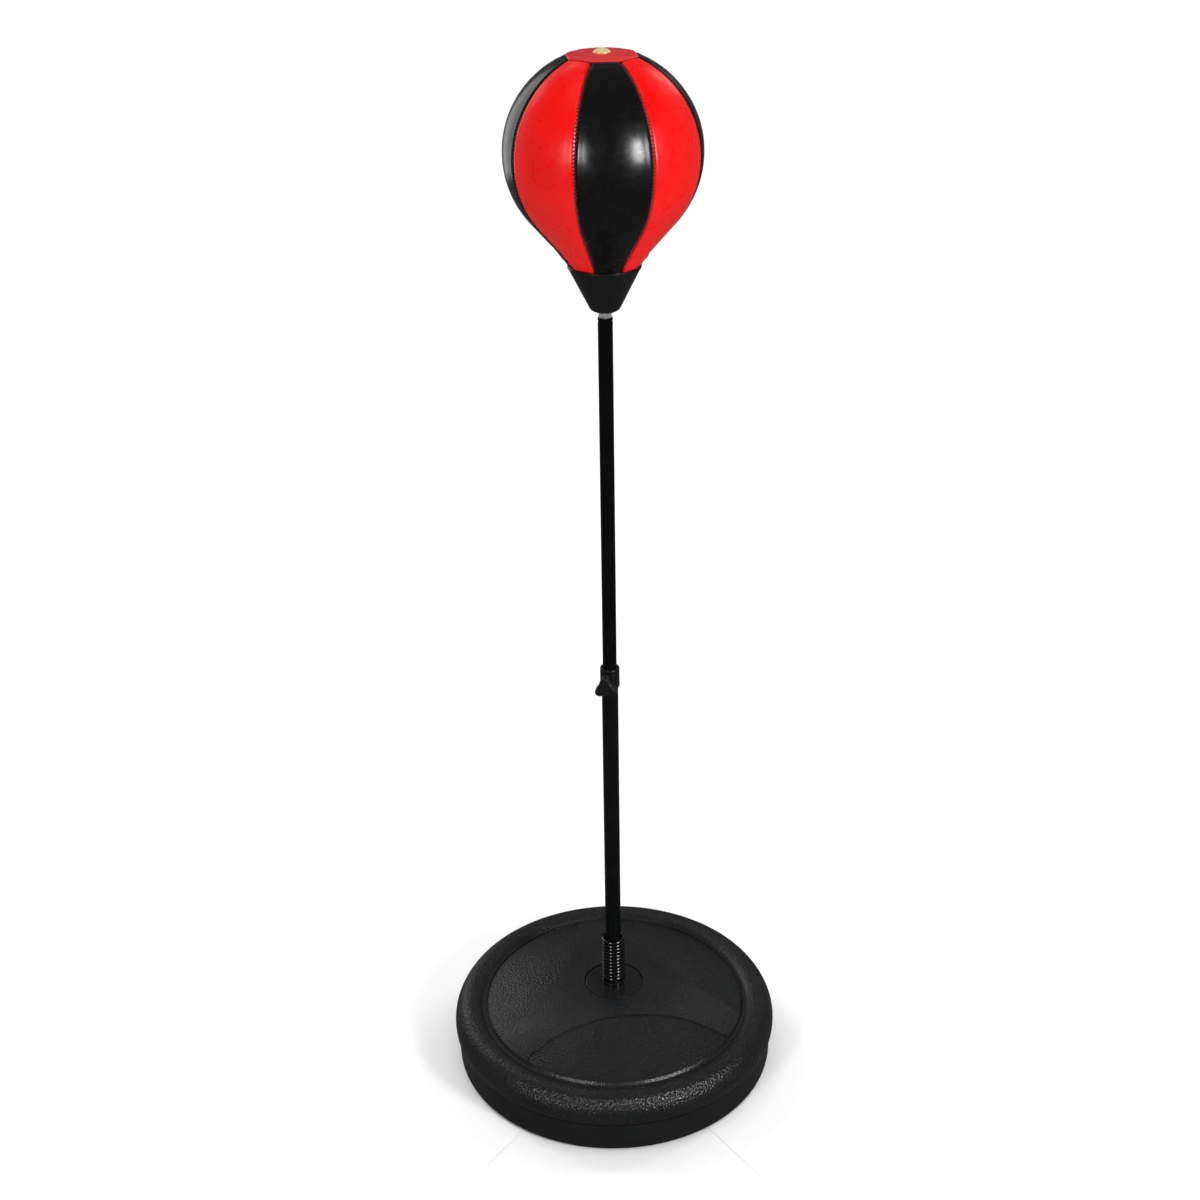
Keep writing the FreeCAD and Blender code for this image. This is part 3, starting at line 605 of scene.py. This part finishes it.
def seam_stitches():
    """The threads that cross the eight long seams, and those round the crown patch."""
    first_row = 4
    sunk = 0.25 * MM
    crown_sunk = 0.4 * MM
    slant = 0.35
    for index in range(PANELS):
        turn = FRONT_PANEL + PANEL_ARC * (index + 0.5)
        round_ball = Vector((-math.sin(turn), math.cos(turn), 0))
        outline = cover_outline(patch_edge(turn), ROW_SPACING)
        places = []
        for row in range(first_row, len(outline) - 2, ROWS_PER_STITCH):
            radius, height = outline[row]
            if height < CUP_RIM - 1 * MM:
                break
            slope = (outline[row + 1] - outline[row - 1]).normalized()
            outwards = Vector((-slope.y * math.cos(turn), -slope.y * math.sin(turn), slope.x))
            down = Vector((slope.x * math.cos(turn), slope.x * math.sin(turn), slope.y))
            middle = Vector((radius * math.cos(turn), radius * math.sin(turn), height))
            middle -= outwards * sunk
            along = (round_ball + down * slant).normalized()
            places.append((middle, along, outwards))
        stitches(f"seam_stitches_{index + 1}", places)
    places = []
    count = round(2 * math.pi * PATCH_CORNER / STITCH_PITCH)
    for step in range(count):
        turn = 2 * math.pi * step / count
        radius = patch_edge(turn)
        out = Vector((math.cos(turn), math.sin(turn), 0))
        middle = out * radius + Vector((0, 0, crown_height(radius) - crown_sunk))
        places.append((middle, out, Vector((0, 0, 1))))
    stitches("crown_stitches", places)


def eyelet():
    """The domed brass eyelet round the valve, with a rolled rim."""
    floor = crown_height(8 * MM) - PATCH_TOP - 0.4 * MM
    outline = [
        (2.6 * MM, floor),
        (8.6 * MM, floor),
        (9.1 * MM, 0.5 * MM),
        (8.9 * MM, 1.3 * MM),
        (8.0 * MM, 1.5 * MM),
        (7.3 * MM, 2.1 * MM),
        (6.0 * MM, 3.3 * MM),
        (4.2 * MM, 4.2 * MM),
        (2.6 * MM, 4.4 * MM),
        (2.0 * MM, 3.8 * MM),
        (2.0 * MM, 0.6 * MM),
    ]
    raised = [(radius, PATCH_TOP + height) for radius, height in rounded(outline, 0.7 * MM)]
    piece = round_piece("brass_eyelet", raised, BRASS)
    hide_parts("valve_eyelet")
    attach(piece, "upper_pole")


# ------------------------------------------------------------------ spring
def spring_half(name, upper):
    """Half of the coil spring: the lower or the upper half of its turns."""
    wire_radius = 2.42 * MM
    inset = 2.3 * MM
    pitch = 5.0 * MM
    sides = 20
    steps_per_turn = 60
    centre_radius = SPRING_RADIUS - inset
    first = SPRING_FOOT + inset
    last = SPRING_HEAD - inset
    turns = (last - first) / pitch
    start, stop = ((turns / 2, turns) if upper else (0, turns / 2))
    steps = round((stop - start) * steps_per_turn)
    points = []
    for step in range(steps + 1):
        turn = start + (stop - start) * step / steps
        angle = 2 * math.pi * turn
        height = first + pitch * turn
        out = Vector((math.cos(angle), math.sin(angle), 0))
        for side in range(sides):
            round_wire = 2 * math.pi * side / sides
            reach = centre_radius + wire_radius * math.cos(round_wire)
            level = height + wire_radius * math.sin(round_wire)
            points.append(out * reach + Vector((0, 0, level)))
    faces = grid_faces(steps + 1, sides, closed=True)
    faces.append(tuple(range(sides)))
    faces.append(tuple(reversed(range(steps * sides, (steps + 1) * sides))))
    piece = mesh_piece(name, points, faces, SPRING_PAINT, 60)
    piece.data.flip_normals()
    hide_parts("spring")
    if upper:
        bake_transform(piece)
    else:
        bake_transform(piece)


# ------------------------------------------------------------------ lock nut
def lock_nut():
    """A hexagon nut with chamfered corners, in bright zinc."""
    low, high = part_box("lock_nut")
    foot, top = low.z, high.z
    corner = 7.45 * MM
    chamfer = 0.7 * MM
    bore = 4.05 * MM
    turn = math.radians(-83.2)
    levels = [
        (foot, corner - chamfer * 1.2),
        (foot + chamfer * 0.7, corner),
        (top - chamfer * 0.7, corner),
        (top, corner - chamfer * 1.2),
        (top, bore),
        (foot, bore),
        (foot, corner - chamfer * 1.2),
    ]
    columns = 96
    flat = corner * math.cos(math.pi / 6)
    points = []
    for height, limit in levels:
        for column in range(columns):
            angle = 2 * math.pi * column / columns
            within = angle % (math.pi / 3) - math.pi / 6
            radius = min(limit, flat / math.cos(within)) if limit > bore else bore
            across, deep = radius * math.cos(angle + turn), radius * math.sin(angle + turn)
            points.append((across, deep, height))
    faces = grid_faces(len(levels), columns, closed=True)
    piece = mesh_piece("hex_lock_nut", points, faces, NUT_ZINC, smooth_angle=20)
    merge_doubles(piece)
    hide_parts("lock_nut")
    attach(piece, "upper_pole")


for panel in range(PANELS):
    cover_panel(panel)
crown_patch()
seam_stitches()
eyelet()
spring_half("spring_lower_half", upper=False)
spring_half("spring_upper_half", upper=True)
lock_nut()


# ------------------------------------------------------------------ stage, light and camera
def studio():
    """A pale floor that sweeps up into a wall round the back, open towards the camera."""
    radius = 5.0
    sweep = 1.5
    sweep_steps = 12
    wall_top = 4.5
    flat_radii = (0.0, 1.0, 2.2, radius - sweep)
    first_angle, last_angle = -55, 235
    columns = 97
    outline = [(reach, 0.0) for reach in flat_radii]
    for step in range(1, sweep_steps + 1):
        angle = math.pi / 2 * step / sweep_steps
        outline.append((radius - sweep + sweep * math.sin(angle), sweep * (1 - math.cos(angle))))
    outline.append((radius, wall_top))
    points = []
    for reach, height in outline:
        for column in range(columns):
            angle = math.radians(first_angle + (last_angle - first_angle) * column / (columns - 1))
            points.append((reach * math.cos(angle), reach * math.sin(angle), height))
    paper = plain_stage("studio_paper", (0.86, 0.86, 0.86))
    wall_piece = mesh_piece("studio_sweep", points, grid_faces(len(outline), columns), paper, ALL_SMOOTH)
    half, drop = 9, 0.5 * MM
    corners = ((-half, -half), (half, -half), (half, half), (-half, half))
    floor_points = [(x, y, -drop) for x, y in corners]
    floor = mesh_piece("studio_floor", floor_points, [(0, 1, 2, 3)], paper)
    for paper_piece in (wall_piece, floor):
        paper_piece.visible_glossy = False


def softbox(name, place, aim, width, height, power, mirrored=True):
    """A rectangular soft light that faces a point; unmirrored, it leaves no highlight."""
    data = bpy.data.lights.new(name, "AREA")
    data.shape = "RECTANGLE"
    data.size = width
    data.size_y = height
    data.energy = power
    light = bpy.data.objects.new(name, data)
    light.location = place
    facing = Vector(aim) - Vector(place)
    light.rotation_euler = facing.to_track_quat("-Z", "Y").to_euler()
    light.visible_glossy = mirrored
    bpy.context.scene.collection.objects.link(light)


def around(degrees, distance, height):
    """A place that many degrees round the object from its front, towards +X."""
    angle = math.radians(degrees)
    return (distance * math.sin(angle), -distance * math.cos(angle), height)


def lighting():
    """Mirrored lights draw the ball's highlights and rim; unmirrored ones light floor and backdrop."""
    ball = (0, 0, BALL_CENTRE)
    softbox("softbox_right", around(43, 2.4, 1.6), ball, 0.5, 0.8, 46)
    softbox("softbox_left", around(-31, 2.6, 1.6), ball, 0.45, 0.8, 26)
    softbox("rim_left", around(-138, 2.6, 1.5), ball, 1.4, 2.6, 14)
    softbox("rim_right", around(145, 2.6, 2.4), ball, 0.5, 1.0, 3)
    softbox("crown_strip", (-0.3, 2.0, 3.3), ball, 1.8, 0.5, 3.5)
    softbox("overhead", (-0.2, -0.5, 3.8), (0, 0, 0), 2.6, 2.0, 52, mirrored=False)
    softbox("wall_wash_left", (-2.9, 2.0, 3.6), (-1.0, 4.6, 0.8), 1.5, 1.5, 85, mirrored=False)
    softbox("wall_wash_right", (2.9, 2.0, 3.6), (1.0, 4.6, 0.8), 1.5, 1.5, 85, mirrored=False)
    world = bpy.data.worlds.new("studio_air")
    world.use_nodes = True
    sky = world.node_tree.nodes["Background"]
    sky.inputs["Color"].default_value = (1, 1, 1, 1)
    sky.inputs["Strength"].default_value = 0.1
    bpy.context.scene.world = world


def camera():
    """Stands where the picture was taken from: in front, above the ball, looking down at the base."""
    sensor_mm = 36
    lens_mm = 54.87
    place = (0, -1.8384, 1.5515)
    data = bpy.data.cameras.new("camera")
    data.sensor_width = sensor_mm
    data.lens = lens_mm
    eye = bpy.data.objects.new("camera", data)
    tilt_down = math.radians(26.6)
    heading = math.radians(0.31)
    roll = math.radians(-0.88)
    eye.matrix_world = (
        Matrix.Translation(place)
        @ Matrix.Rotation(heading, 4, "Z")
        @ Matrix.Rotation(math.pi / 2 - tilt_down, 4, "X")
        @ Matrix.Rotation(roll, 4, "Z")
    )
    bpy.context.scene.collection.objects.link(eye)
    bpy.context.scene.camera = eye


studio()
lighting()
camera()
bpy.context.scene.view_settings.view_transform = "Standard"
